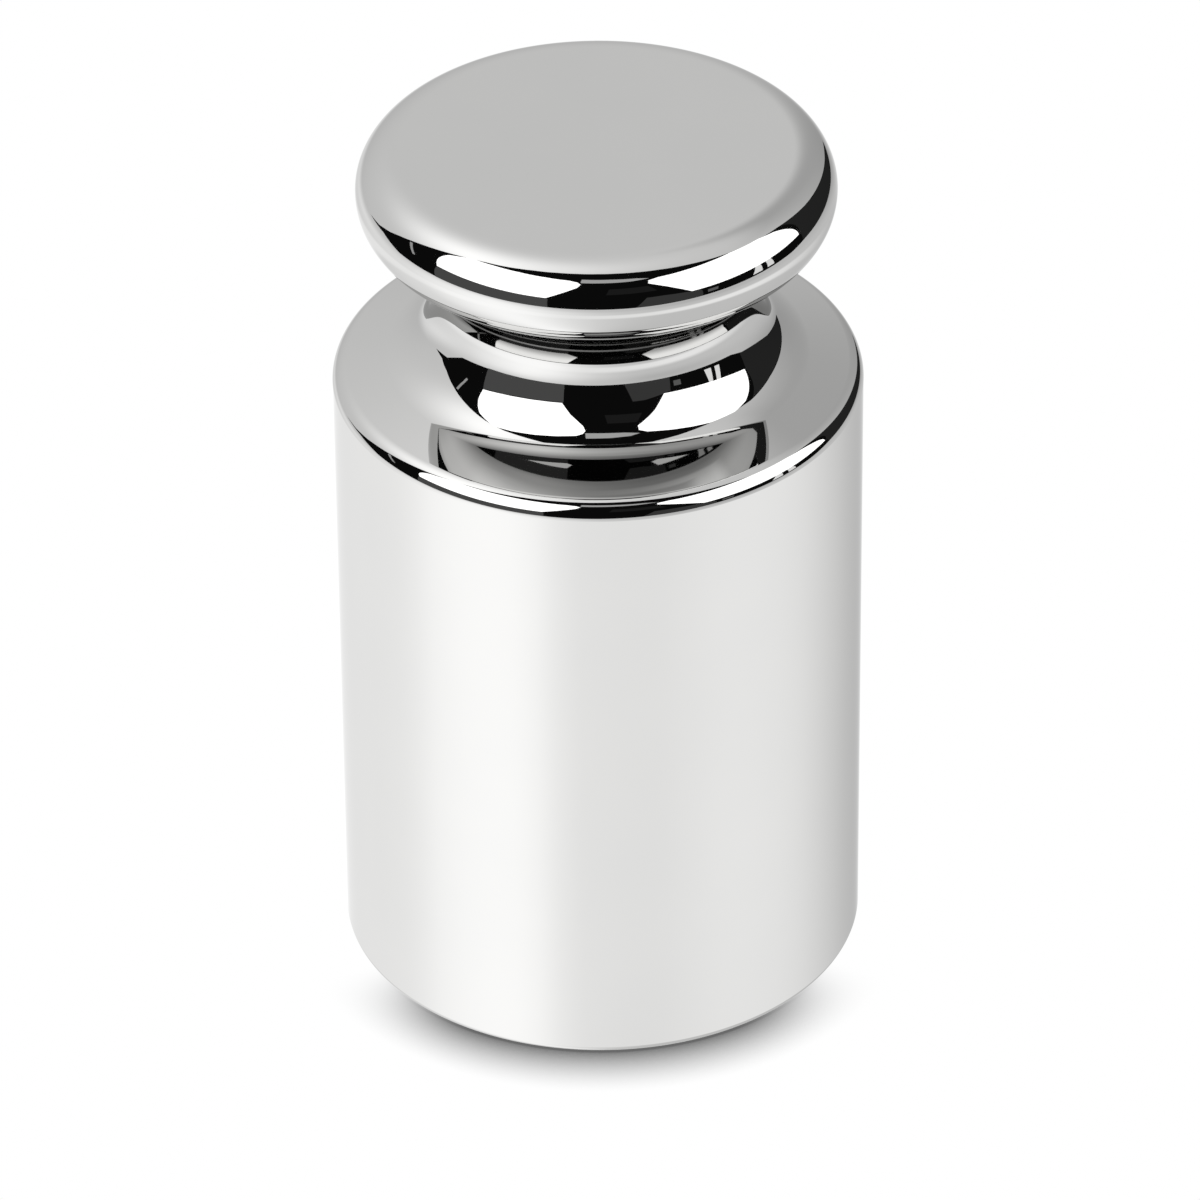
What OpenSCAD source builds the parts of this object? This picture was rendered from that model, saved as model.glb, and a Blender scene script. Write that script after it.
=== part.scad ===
// Knob weight, 2 kg: one solid turned from stainless steel bar and polished.
// Millimetres. The weight stands on z = 0 with its axis on Z.

/* [Body] */
// Diameter of the cylindrical body
body_d = 60; // [56:0.1:64]
// Height of the body, to the top of the round at its rim
body_h = 75.7; // [60:0.1:90]
// Radius of the round between the side and the shoulder
rim_r = 2.4; // [1.2:0.1:3.6]
// Radius of the edge around the base
base_r = 0.8; // [0.4:0.1:1.6]
// Slope of the shoulder between the rim and the neck, in degrees
shoulder_slope = 15.3; // [8:0.1:24]

/* [Neck] */
// Diameter of the neck at its narrowest point
neck_d = 36.3; // [30:0.1:40]
// How far the hollow curve of the neck turns before its small root curve, in degrees
cove_turn = 49; // [30:1:65]
// Radius of the root curve where the neck meets the shoulder
root_r = 6; // [3:0.1:9]
// Radius of the hollow curve under the knob
throat_r = 7.5; // [5:0.1:10]

/* [Knob] */
// Diameter of the knob
knob_d = 53.8; // [51:0.1:58]
// Height of the knob's widest point above the top of the body
knob_rise = 22.6; // [19:0.1:26]
// Slope of the knob's underside, in degrees
underside_slope = 31.5; // [24:0.5:45]
// Radius of the knob's edge below its widest point
knob_under_r = 5.8; // [3:0.1:8]
// Radius of the knob's edge above its widest point, which reaches up to the flat top
knob_top_r = 5; // [3:0.1:8]

/* [Hidden] */
$fn = 192;

// The outline is drawn as [distance from the axis, height] and turned about Z.
function toward(angle) = [cos(angle), sin(angle)];
function level(p) = [0, p[1]];

// Rim: a round whose upper end is the start of the sloping shoulder.
shoulder_up = toward(90 - shoulder_slope);
rim_c = [body_d / 2 - rim_r, body_h - rim_r];
rim_end = rim_c + rim_r * shoulder_up;

// Knob: its edge runs from the straight underside, past the widest point, to the flat top.
under_down = toward(underside_slope - 90);
knob_c = [knob_d / 2 - knob_under_r, body_h + knob_rise];
knob_start = knob_c + knob_under_r * under_down;

// Throat: it touches the underside, and its lowest point is the waist of the neck.
throat_x = neck_d / 2 + throat_r;
throat_z = (knob_start * under_down + throat_r - throat_x * under_down[0]) / under_down[1];
throat_c = [throat_x, throat_z];
throat_end = throat_c - throat_r * under_down;
waist = throat_c - [throat_r, 0];

// Cove: its radius lets the root curve that follows it touch the shoulder.
root_in = toward(cove_turn);
cove_r = (root_r - (waist + root_r * root_in - rim_end) * shoulder_up)
    / (([1, 0] - root_in) * shoulder_up);
cove_c = waist + [cove_r, 0];
root_c = cove_c - (cove_r - root_r) * root_in;
root_start = root_c - root_r * shoulder_up;
root_end = cove_c - cove_r * root_in;

// Everything from the axis out to two points, less a hollow circle between them.
module hollow(from, to, centre, radius) {
    difference() {
        polygon([level(from), from, to, level(to)]);
        translate(centre) circle(r = radius);
    }
}

module body_outline() {
    base_x = body_d / 2 - base_r;
    polygon([[0, 0], [base_x, 0], [base_x, base_r], [body_d / 2, base_r],
        [body_d / 2, rim_c[1]], rim_c, rim_end, root_start, level(root_start)]);
    translate([base_x, base_r]) circle(r = base_r);
    translate(rim_c) circle(r = rim_r);
}

module neck_outline() {
    hollow(root_start, root_end, root_c, root_r);
    hollow(root_end, waist, cove_c, cove_r);
    hollow(waist, throat_end, throat_c, throat_r);
}

module knob_outline() {
    top_x = knob_d / 2 - knob_top_r;
    polygon([level(throat_end), throat_end, knob_start, knob_c, level(knob_c)]);
    intersection() {
        translate(knob_c) circle(r = knob_under_r);
        polygon([knob_c, knob_start, knob_start + [knob_under_r, 0], knob_c + [knob_under_r, 0]]);
    }
    translate([top_x, knob_c[1]]) circle(r = knob_top_r);
    translate(level(knob_c)) square([top_x, knob_top_r]);
}

module weight() {
    color([0.78, 0.78, 0.77])
        rotate_extrude() {
            body_outline();
            neck_outline();
            knob_outline();
        }
}

weight();
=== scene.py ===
import math

import bpy
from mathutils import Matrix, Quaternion, Vector


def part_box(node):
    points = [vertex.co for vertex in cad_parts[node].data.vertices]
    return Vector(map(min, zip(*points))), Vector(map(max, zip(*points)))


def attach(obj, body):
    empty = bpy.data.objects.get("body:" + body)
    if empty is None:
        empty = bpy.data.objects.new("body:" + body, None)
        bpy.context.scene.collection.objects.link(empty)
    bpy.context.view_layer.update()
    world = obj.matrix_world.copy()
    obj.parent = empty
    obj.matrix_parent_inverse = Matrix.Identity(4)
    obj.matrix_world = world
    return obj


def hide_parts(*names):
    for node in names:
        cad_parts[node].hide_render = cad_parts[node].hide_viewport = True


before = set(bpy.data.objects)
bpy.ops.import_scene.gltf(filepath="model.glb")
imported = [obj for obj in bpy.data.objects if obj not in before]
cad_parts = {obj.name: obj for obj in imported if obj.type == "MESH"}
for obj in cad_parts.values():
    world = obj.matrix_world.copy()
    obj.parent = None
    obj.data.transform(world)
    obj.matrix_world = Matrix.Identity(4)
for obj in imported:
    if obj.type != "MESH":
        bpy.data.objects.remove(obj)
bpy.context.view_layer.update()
mm = 0.001


# The weight.

# Millimetres and degrees. The body's width and the whole height come from the frame.
weightSizes = {
    "bodyHeight": 75.7,
    "rimRadius": 2.3,
    "baseRadius": 0.8,
    "shoulderSlope": 15.6,
    "neckDiameter": 36,
    "coveTurn": 29,
    "rootRadius": 7.6,
    "throatRadius": 7.3,
    "knobDiameter": 53.8,
    "undersideSlope": 31.8,
    "knobUnderRadius": 5.7,
    "knobTopRadius": 5,
    "arcStep": 1.2,  # degrees between rings on a curve
    "fewestSteps": 6,  # on the shortest curve
    "segments": 240,  # around the axis
}


def toward(angle):
    return Vector((math.cos(math.radians(angle)), math.sin(math.radians(angle))))


# Rings of one arc, each as a point [distance from axis, height] and the surface's direction there.
def arcRings(centre, radius, start, end, hollow=False):
    count = max(weightSizes["fewestSteps"], math.ceil(abs(end - start) / weightSizes["arcStep"]))
    facing = -1 if hollow else 1
    angles = [start + (end - start) * i / count for i in range(count + 1)]
    return [(centre + radius * toward(a), facing * toward(a)) for a in angles]


# The whole outline from the middle of the base, up the outside, to the middle of the top.
def weightOutline(bodyDiameter, totalHeight):
    s = weightSizes
    up, down, outward = toward(90), toward(-90), toward(0)
    slope = s["shoulderSlope"]
    shoulderUp = toward(90 - slope)
    baseCentre = Vector((bodyDiameter / 2 - s["baseRadius"], s["baseRadius"]))
    rimCentre = Vector((bodyDiameter / 2 - s["rimRadius"], s["bodyHeight"] - s["rimRadius"]))
    rimEnd = rimCentre + s["rimRadius"] * shoulderUp

    # knob: its edge starts where the straight underside ends
    knobHeight = totalHeight - s["knobTopRadius"]
    knobCentre = Vector((s["knobDiameter"] / 2 - s["knobUnderRadius"], knobHeight))
    topCentre = Vector((s["knobDiameter"] / 2 - s["knobTopRadius"], knobHeight))
    underAngle = s["undersideSlope"] - 90
    underDown = toward(underAngle)
    knobStart = knobCentre + s["knobUnderRadius"] * underDown

    # throat: it touches the underside, and its lowest point is the waist
    throatX = s["neckDiameter"] / 2 + s["throatRadius"]
    throatZ = (knobStart.dot(underDown) + s["throatRadius"] - throatX * underDown.x) / underDown.y
    throatCentre = Vector((throatX, throatZ))
    waist = throatCentre - s["throatRadius"] * outward

    # cove: its radius lets the root curve after it touch the shoulder
    rootIn = toward(s["coveTurn"])
    reach = (waist + s["rootRadius"] * rootIn - rimEnd).dot(shoulderUp)
    coveRadius = (s["rootRadius"] - reach) / (outward - rootIn).dot(shoulderUp)
    coveCentre = waist + coveRadius * outward
    rootCentre = coveCentre - (coveRadius - s["rootRadius"]) * rootIn

    middle = Vector((0, 1))
    rings = [(Vector((baseCentre.x, 0)), down)]
    rings += arcRings(baseCentre, s["baseRadius"], -90, 0)
    rings += arcRings(rimCentre, s["rimRadius"], 0, 90 - slope)
    rings += arcRings(rootCentre, s["rootRadius"], 270 - slope, 180 + s["coveTurn"], hollow=True)
    rings += arcRings(coveCentre, coveRadius, 180 + s["coveTurn"], 180, hollow=True)
    rings += arcRings(throatCentre, s["throatRadius"], 180, 180 + underAngle, hollow=True)
    rings += arcRings(knobCentre, s["knobUnderRadius"], underAngle, 0)
    rings += arcRings(topCentre, s["knobTopRadius"], 0, 90)
    rings += [(middle * totalHeight, up)]
    return [(Vector((0, 0)), down)] + rings


# Turns an outline about Z, with the exact direction of the surface at every point.
def turnedMesh(name, outline, segments):
    spots, facings, faces = [], [], []
    for point, facing in outline:
        onAxis = point.x == 0
        for i in range(1 if onAxis else segments):
            turn = 2 * math.pi * i / segments
            c, s = math.cos(turn), math.sin(turn)
            spots.append((point.x * c * mm, point.x * s * mm, point.y * mm))
            facings.append((facing.x * c, facing.x * s, facing.y))
    last = len(spots) - 1
    ringCount = len(outline) - 2
    for i in range(segments):
        j = (i + 1) % segments
        faces.append((0, 1 + j, 1 + i))
        for ring in range(ringCount - 1):
            low = 1 + ring * segments
            high = low + segments
            faces.append((low + i, low + j, high + j, high + i))
        top = 1 + (ringCount - 1) * segments
        faces.append((top + i, top + j, last))
    mesh = bpy.data.meshes.new(name)
    mesh.from_pydata(spots, [], faces)
    mesh.shade_smooth()
    mesh.normals_split_custom_set_from_vertices(facings)
    piece = bpy.data.objects.new(name, mesh)
    bpy.context.scene.collection.objects.link(piece)
    return piece


def mathNode(nodes, links, operation, *values):
    node = nodes.new("ShaderNodeMath")
    node.operation = operation
    for i, value in enumerate(values):
        if isinstance(value, bpy.types.NodeSocket):
            links.new(value, node.inputs[i])
        else:
            node.inputs[i].default_value = value
    return node.outputs[0]


# 0 below start and 1 above end, with a soft change between them; end may be below start.
def steadyRamp(nodes, links, value, start, end):
    ramp = nodes.new("ShaderNodeMapRange")
    ramp.interpolation_type = "SMOOTHSTEP"
    links.new(value, ramp.inputs["Value"])
    ramp.inputs["From Min"].default_value = start
    ramp.inputs["From Max"].default_value = end
    return ramp.outputs["Result"]


# Polished steel.

steelLook = {
    "brightSteel": (0.615, 0.612, 0.604, 1),
    "greySteel": (0.590, 0.590, 0.585, 1),
    "smoothest": 0.012,
    "haziest": 0.035,
    "hazeSize": 60,  # patches to the metre
    "hazeDetail": 4,
    "hazeRange": (0.35, 0.7),  # of the noise, from smoothest to haziest
    "throat": (0.0866, 0.0878, 0.0910, 0.0928),  # heights where the painted shade and haze come in, and where they are gone again
    "throatPaintedShade": 0.4,  # painted shade: share of the reflected light that is left there
    "throatHaze": 0.03,
    "edgeTint": (0.72, 0.72, 0.72, 1),  # keeps grazing reflections as dark as the rest
}


def polishedSteel():
    look = steelLook
    steel = bpy.data.materials.new("polishedSteel")
    steel.use_nodes = True
    nodes, links = steel.node_tree.nodes, steel.node_tree.links
    shader = nodes["Principled BSDF"]
    shader.inputs["Metallic"].default_value = 1
    shader.inputs["Specular Tint"].default_value = look["edgeTint"]
    place = nodes.new("ShaderNodeTexCoord")

    # wiped haze: soft patches where the polish is a little less sharp
    haze = nodes.new("ShaderNodeTexNoise")
    haze.inputs["Scale"].default_value = look["hazeSize"]
    haze.inputs["Detail"].default_value = look["hazeDetail"]
    links.new(place.outputs["Object"], haze.inputs["Vector"])
    rough = nodes.new("ShaderNodeMapRange")
    rough.inputs["From Min"].default_value, rough.inputs["From Max"].default_value = look["hazeRange"]
    rough.inputs["To Min"].default_value = look["smoothest"]
    rough.inputs["To Max"].default_value = look["haziest"]
    links.new(haze.outputs["Fac"], rough.inputs["Value"])
    tint = nodes.new("ShaderNodeMix")
    tint.data_type = "RGBA"
    tint.inputs[6].default_value = look["brightSteel"]
    tint.inputs[7].default_value = look["greySteel"]
    links.new(haze.outputs["Fac"], tint.inputs["Factor"])

    # throat: painted shade right under the knob, with the steel's colour darkened and its polish a little
    # hazier there
    low, lowFull, highFull, high = look["throat"]
    xyz = nodes.new("ShaderNodeSeparateXYZ")
    links.new(place.outputs["Object"], xyz.inputs[0])
    rising = steadyRamp(nodes, links, xyz.outputs["Z"], low, lowFull)
    falling = steadyRamp(nodes, links, xyz.outputs["Z"], high, highFull)
    throatShadeMask = mathNode(nodes, links, "MULTIPLY", rising, falling)
    # painted shade: the steel's colour is multiplied down in the throat
    paintedThroatShade = nodes.new("ShaderNodeMix")
    paintedThroatShade.data_type = "RGBA"
    paintedThroatShade.blend_type = "MULTIPLY"
    links.new(throatShadeMask, paintedThroatShade.inputs["Factor"])
    links.new(tint.outputs[2], paintedThroatShade.inputs[6])
    paintedThroatShade.inputs[7].default_value = (*[look["throatPaintedShade"]] * 3, 1)
    links.new(paintedThroatShade.outputs[2], shader.inputs["Base Color"])
    hazy = mathNode(nodes, links, "MULTIPLY_ADD", throatShadeMask, look["throatHaze"], rough.outputs["Result"])
    links.new(hazy, shader.inputs["Roughness"])
    return steel


# The studio.

# The metal looks out at a studio far larger than itself. Directions are [degrees round, degrees up]:
# 0 round is towards the camera and positive is to its right. Light is 1 for white.
cardDistance = 3.0
cardCentre = Vector((0, 0, 0.098))
cardCuts = 4  # steps along each side of a card


def lightMaterial(name, light):
    material = bpy.data.materials.new(name)
    material.use_nodes = True
    nodes, links = material.node_tree.nodes, material.node_tree.links
    nodes.clear()
    glow = nodes.new("ShaderNodeEmission")
    glow.inputs["Strength"].default_value = light
    out = nodes.new("ShaderNodeOutputMaterial")
    links.new(glow.outputs["Emission"], out.inputs["Surface"])
    return material


def direction(around, up):
    a, e = math.radians(around), math.radians(up)
    return Vector((math.sin(a) * math.cos(e), -math.cos(a) * math.cos(e), math.sin(e)))


def stageMesh(name, spots, faces, material):
    mesh = bpy.data.meshes.new(name)
    mesh.from_pydata(spots, [], faces)
    mesh.materials.append(material)
    thing = bpy.data.objects.new(name, mesh)
    bpy.context.scene.collection.objects.link(thing)
    return thing


# The same line with more points on it.
def finely(line, cuts):
    points = []
    for (a0, e0), (a1, e1) in zip(line, line[1:]):
        for i in range(cuts):
            points.append((a0 + (a1 - a0) * i / cuts, e0 + (e1 - e0) * i / cuts))
    return points + line[-1:]


# A card with a straight-sided outline, made as a fan of triangles round its middle.
def studioCard(name, outline, light):
    rim = finely(outline + outline[:1], cardCuts)[:-1]
    spots = [cardCentre + cardDistance * direction(around, up) for around, up in rim]
    middle = sum(spots, Vector()) / len(spots)
    last = len(spots)
    faces = [(last, i, (i + 1) % last) for i in range(last)]
    card = stageMesh(name, spots + [middle], faces, lightMaterial(name, light))
    card.visible_camera = False
    return card


# The unlit room in front: a curtain from the far edge of the table up to the edge of the light tent.
roomLook = {
    "light": 0.005,
    "distance": 3.3,
    "cuts": 6,
    "rows": 8,
    "tableEdge": [(-125, -8), (-112, -6), (-100, -12), (-20, -12.5), (40, -13.4), (98, -13.4), (108, -11)],
    "tentEdge": [(-125, -8), (-116, -3.5), (-108, 5), (-100, 19), (-93, 33), (-86, 48), (-80, 57),
                 (-62, 70), (-45, 75), (-25, 77.5), (0, 78.5), (25, 77.5), (45, 74.5), (60, 70.5),
                 (75, 63), (88, 54), (100, 46), (112, 38), (124, 23), (138, 9), (151, -4), (157, -10.9)],
}


def tableEdge(around):
    edge = roomLook["tableEdge"]
    for (a0, e0), (a1, e1) in zip(edge, edge[1:]):
        if around <= a1:
            return e0 + (e1 - e0) * max(0, (around - a0) / (a1 - a0))
    return edge[-1][1]


def darkRoom():
    look = roomLook
    rows = look["rows"]
    spots, faces = [], []
    for around, top in finely(look["tentEdge"], look["cuts"]):
        foot = tableEdge(around)
        for row in range(rows + 1):
            up = foot + (top - foot) * row / rows
            spots.append(cardCentre + look["distance"] * direction(around, up))
    for column in range(len(spots) // (rows + 1) - 1):
        for row in range(rows):
            a = column * (rows + 1) + row
            b = a + rows + 1
            faces.append((a, b, b + 1, a + 1))
    room = stageMesh("darkRoom", spots, faces, lightMaterial("darkRoom", look["light"]))
    room.visible_camera = False
    return room


softboxLight = 2.2
studioCards = {
    "leftSoftbox": ([(-77, 10), (-23, 10.5), (-10.5, 42), (-9.5, 50), (-12, 55), (-18, 58.5),
                     (-35, 60), (-55, 59.5), (-72, 57), (-84, 53), (-85, 40), (-80.5, 22)], softboxLight),
    "rightSoftbox": ([(42.5, 4.5), (104, 3.5), (107, 37), (104, 45), (90, 52), (75, 54), (58, 55),
                      (38, 54.5), (30, 51), (27.5, 44), (33, 31)], softboxLight),
    "topStrip": ([(-10, 54), (20, 54), (33, 56), (27, 60), (10, 62.5), (-11, 63)], 0.55),
    "underLeft": ([(-77, -12.5), (-22, -12.5), (-22, 9.5), (-77, 9.5)], 0.095),
    "rightWing": ([(106, -11), (156, -10.5), (150, -4), (138, 8), (124, 22), (112.5, 36), (105, 5)], 0.025),
    "underRight": ([(17, -13), (48, -13.4), (47, 3), (30, 9), (22, 9.5)], 0.055),
    "deepPatch": ([(4, 24), (28, 24), (26, 38), (6, 38)], 0.016),
    "rightPole": ([(73.5, -10), (79, -10), (78, 4), (75, 4)], 1.1),
    "farRightPole": ([(82, -10), (86, -10), (83.5, 8), (80.5, 8)], 1.1),
    "smallLamp": ([(50, -8), (55, -8), (55, -2), (50, -2)], 0.15),
    "leftWire": ([(-91, 4), (-89.5, 5), (-96.5, 20), (-98, 19)], 0.45),
}


# The light tent above and behind, and the pale table below, on a dome that only the camera looks through.
tentLook = {
    "radius": 60,
    "columns": 24,
    "rows": 12,
    "light": 0.868,
    "glow": 0.80,
    "glowFrom": (-92, 56),
    "glowTightness": 9,
    "zenith": 0.12,
    "zenithTightness": 20,
    "horizon": (-20, -8),  # where the table fades into the tent
    # how light the tent is by degrees round, up to where it closes overhead
    "walls": [(-180, 1.00), (-165, 0.99), (-150, 1.02), (-120, 1.00), (100, 0.95), (120, 0.80),
              (140, 0.65), (150, 0.635), (158, 0.655), (165, 0.77), (172, 0.96), (176, 1.00),
              (180, 1.00)],
    "wallsEnd": (46, 62),
    # how light the table looks from the metal by degrees round: its far part, the rest of it, and the part
    # that faces an upright wall of the weight
    "brightest": 1.7,
    "farTable": [(-180, 0.98), (-160, 1.28), (-136, 1.38), (-105, 1.02), (-85, 1.22), (-60, 1.43),
                 (-45, 1.49), (-28, 1.20), (-12, 0.98), (0, 0.85), (18, 0.79), (32, 0.67), (50, 0.66),
                 (75, 0.72), (95, 0.78), (120, 0.80), (138, 0.82), (160, 0.78), (180, 0.95)],
    "openTable": [(-180, 1.05), (-150, 1.25), (-105, 1.15), (-90, 1.28), (-75, 1.40), (-60, 1.52),
                  (-45, 1.58), (-30, 1.45), (-15, 1.20), (0, 1.02), (20, 0.86), (40, 0.82), (75, 0.84),
                  (120, 0.86), (150, 0.95), (165, 1.05), (180, 1.05)],
    "wallTable": [(-180, 1.10), (-160, 1.45), (-145, 1.47), (-132, 1.43), (-118, 1.35), (-100, 1.32),
                  (-88, 1.39), (-78, 1.49), (-62, 1.57), (-40, 1.59), (-28, 1.49), (-19, 1.34),
                  (-8, 1.24), (20, 1.21), (34, 1.23), (58, 1.31), (85, 1.27), (100, 1.22), (115, 1.11),
                  (127, 1.05), (138, 0.98), (150, 0.93), (165, 0.80), (180, 1.10)],
    "farUp": -16,
    "openUp": -26,
    "wallUp": -34.4,
    "wallHalfWidth": 7,
    "wallCore": 2,
}


def aroundRamp(nodes, links, around, stops, brightest):
    ramp = nodes.new("ShaderNodeValToRGB")
    links.new(around, ramp.inputs["Fac"])
    ramp.color_ramp.interpolation = "B_SPLINE"
    elements = ramp.color_ramp.elements
    elements[0].position, elements[1].position = 0, 1
    for degrees, light in stops[1:-1]:
        elements.new((degrees + 180) / 360)
    for element, (degrees, light) in zip(elements, stops):
        element.color = (*[light / brightest] * 3, 1)
    return ramp.outputs["Color"]


def heightOf(up):
    return math.sin(math.radians(up))


def blend(nodes, links, share, first, second):
    node = nodes.new("ShaderNodeMix")
    node.data_type = "RGBA"
    links.new(share, node.inputs["Factor"])
    links.new(first, node.inputs[6])
    links.new(second, node.inputs[7])
    return node.outputs[2]


def lightTent():
    look = tentLook
    bright = look["brightest"]
    material = bpy.data.materials.new("lightTent")
    material.use_nodes = True
    nodes, links = material.node_tree.nodes, material.node_tree.links
    nodes.clear()
    place = nodes.new("ShaderNodeTexCoord")
    way = nodes.new("ShaderNodeVectorMath")
    way.operation = "NORMALIZE"
    links.new(place.outputs["Object"], way.inputs[0])
    xyz = nodes.new("ShaderNodeSeparateXYZ")
    links.new(way.outputs["Vector"], xyz.inputs[0])

    # tent: even grey, lighter round the back of the left softbox and straight above
    turn = mathNode(nodes, links, "ARCTAN2", xyz.outputs["X"],
                    mathNode(nodes, links, "MULTIPLY", xyz.outputs["Y"], -1))
    around = mathNode(nodes, links, "MULTIPLY_ADD", turn, 0.5 / math.pi, 0.5)
    near = nodes.new("ShaderNodeVectorMath")
    near.operation = "DOT_PRODUCT"
    links.new(way.outputs["Vector"], near.inputs[0])
    near.inputs[1].default_value = direction(*look["glowFrom"])
    spill = mathNode(nodes, links, "POWER", mathNode(nodes, links, "MAXIMUM", near.outputs["Value"], 0),
                     look["glowTightness"])
    wallsStart, wallsEnd = [heightOf(up) for up in look["wallsEnd"]]
    tent = nodes.new("ShaderNodeMix")
    links.new(steadyRamp(nodes, links, xyz.outputs["Z"], wallsStart, wallsEnd), tent.inputs[0])
    wallsRow = aroundRamp(nodes, links, around, look["walls"], bright)
    walls = mathNode(nodes, links, "MULTIPLY", wallsRow, bright)
    links.new(walls, tent.inputs[2])
    tent.inputs[3].default_value = 1
    tent = mathNode(nodes, links, "MULTIPLY", tent.outputs[0], look["light"])
    tent = mathNode(nodes, links, "MULTIPLY_ADD", spill, look["glow"], tent)
    high = mathNode(nodes, links, "POWER", mathNode(nodes, links, "MAXIMUM", xyz.outputs["Z"], 0),
                    look["zenithTightness"])
    tent = mathNode(nodes, links, "MULTIPLY_ADD", high, look["zenith"], tent)

    # table: its light changes round the weight, and falls off towards its far edge
    farRow, openRow, wallRow = [aroundRamp(nodes, links, around, look[row], bright)
                                for row in ("farTable", "openTable", "wallTable")]
    farther = steadyRamp(nodes, links, xyz.outputs["Z"], heightOf(look["openUp"]), heightOf(look["farUp"]))
    wallUp, half, core = look["wallUp"], look["wallHalfWidth"], look["wallCore"]
    rising = steadyRamp(nodes, links, xyz.outputs["Z"], heightOf(wallUp - half), heightOf(wallUp - core))
    falling = steadyRamp(nodes, links, xyz.outputs["Z"], heightOf(wallUp + half), heightOf(wallUp + core))
    wallShare = mathNode(nodes, links, "MULTIPLY", rising, falling)
    openTable = blend(nodes, links, farther, openRow, farRow)
    table = blend(nodes, links, wallShare, openTable, wallRow)
    tableLight = mathNode(nodes, links, "MULTIPLY", table, bright)

    # horizon: the table meets the tent behind the weight
    horizonStart, horizonEnd = [heightOf(up) for up in look["horizon"]]
    above = steadyRamp(nodes, links, xyz.outputs["Z"], horizonStart, horizonEnd)
    seen = nodes.new("ShaderNodeMix")
    links.new(above, seen.inputs[0])
    links.new(tableLight, seen.inputs[2])
    links.new(tent, seen.inputs[3])

    glow = nodes.new("ShaderNodeEmission")
    links.new(seen.outputs[0], glow.inputs["Strength"])
    out = nodes.new("ShaderNodeOutputMaterial")
    links.new(glow.outputs["Emission"], out.inputs["Surface"])
    material.cycles.emission_sampling = "NONE"

    columns, rows = look["columns"], look["rows"]
    spots = []
    for row in range(rows + 1):
        for column in range(columns):
            spots.append(look["radius"] * direction(360 * column / columns, 180 * row / rows - 90))
    faces = []
    for row in range(rows):
        for column in range(columns):
            a, b = row * columns + column, row * columns + (column + 1) % columns
            faces.append((a, b, b + columns, a + columns))
    dome = stageMesh("lightTent", spots, faces, material)
    dome.visible_camera = False
    return dome


def whiteBackdrop():
    world = bpy.data.worlds.new("whiteBackdrop")
    bpy.context.scene.world = world
    world.use_nodes = True
    backdrop = world.node_tree.nodes["Background"]
    backdrop.inputs["Color"].default_value = (1, 1, 1, 1)


tableLook = {
    "halfWidth": 1.5,
    "shadowReach": 0.0075,
    "touching": 0.48,  # how open the table is right beside the weight
    "darkest": 0.14,
    "shadowFrom": 0.42,  # cosine of the angle round from the front where the shadow begins, and is full
    "shadowFull": 0.88,
}


# White to the camera, apart from the soft shadow that falls to the front of what stands on it.
def paleTable():
    look = tableLook
    material = bpy.data.materials.new("paleTable")
    material.use_nodes = True
    nodes, links = material.node_tree.nodes, material.node_tree.links
    nodes.clear()
    closeness = nodes.new("ShaderNodeAmbientOcclusion")
    closeness.inputs["Distance"].default_value = look["shadowReach"]
    depth = nodes.new("ShaderNodeMapRange")
    links.new(closeness.outputs["AO"], depth.inputs["Value"])
    depth.inputs["From Min"].default_value = look["touching"]
    depth.inputs["From Max"].default_value = 1
    depth.inputs["To Min"].default_value = 1 - look["darkest"]
    depth.inputs["To Max"].default_value = 0
    place = nodes.new("ShaderNodeTexCoord")
    spread = nodes.new("ShaderNodeVectorMath")
    spread.operation = "NORMALIZE"
    links.new(place.outputs["Object"], spread.inputs[0])
    xyz = nodes.new("ShaderNodeSeparateXYZ")
    links.new(spread.outputs["Vector"], xyz.inputs[0])
    front = steadyRamp(nodes, links, xyz.outputs["Y"], -look["shadowFrom"], -look["shadowFull"])
    shadow = mathNode(nodes, links, "MULTIPLY", depth.outputs["Result"], front)
    glow = nodes.new("ShaderNodeEmission")
    links.new(mathNode(nodes, links, "SUBTRACT", 1, shadow), glow.inputs["Strength"])
    out = nodes.new("ShaderNodeOutputMaterial")
    links.new(glow.outputs[0], out.inputs["Surface"])
    w = look["halfWidth"]
    corners = [(-w, -w, 0), (w, -w, 0), (w, w, 0), (-w, w, 0)]
    table = stageMesh("paleTable", corners, [(0, 1, 2, 3)], material)
    table.visible_glossy = False  # the metal sees the table as part of the light tent
    return table


# The camera.

cameraLook = {
    "place": (0, -0.84893, 0.62440),
    "down": 34.43,
    "roll": -0.518,
    "focal": 268.735,
    "sensor": 36,
    "clip": (0.01, 50),
}


def productCamera():
    look = cameraLook
    data = bpy.data.cameras.new("productCamera")
    data.lens = look["focal"]
    data.sensor_width = look["sensor"]
    data.clip_start, data.clip_end = look["clip"]
    camera = bpy.data.objects.new("productCamera", data)
    bpy.context.scene.collection.objects.link(camera)
    camera.location = look["place"]
    camera.rotation_mode = "QUATERNION"
    tilt = Quaternion((1, 0, 0), math.radians(90 - look["down"]))
    camera.rotation_quaternion = tilt @ Quaternion((0, 0, 1), math.radians(look["roll"]))
    bpy.context.scene.camera = camera


# Put together.

bpy.context.scene.view_settings.view_transform = "Standard"
low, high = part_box("weight")
outline = weightOutline((high.x - low.x) / mm, high.z / mm)
weight = turnedMesh("turnedWeight", outline, weightSizes["segments"])
weight.data.materials.append(polishedSteel())
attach(weight, "root")
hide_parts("weight")
print("weight turned:", len(weight.data.polygons), "faces")

paleTable()
darkRoom()
for cardName, (cardOutline, cardLight) in studioCards.items():
    studioCard(cardName, cardOutline, cardLight)
lightTent()
whiteBackdrop()
print("studio set")
productCamera()
print("camera set")
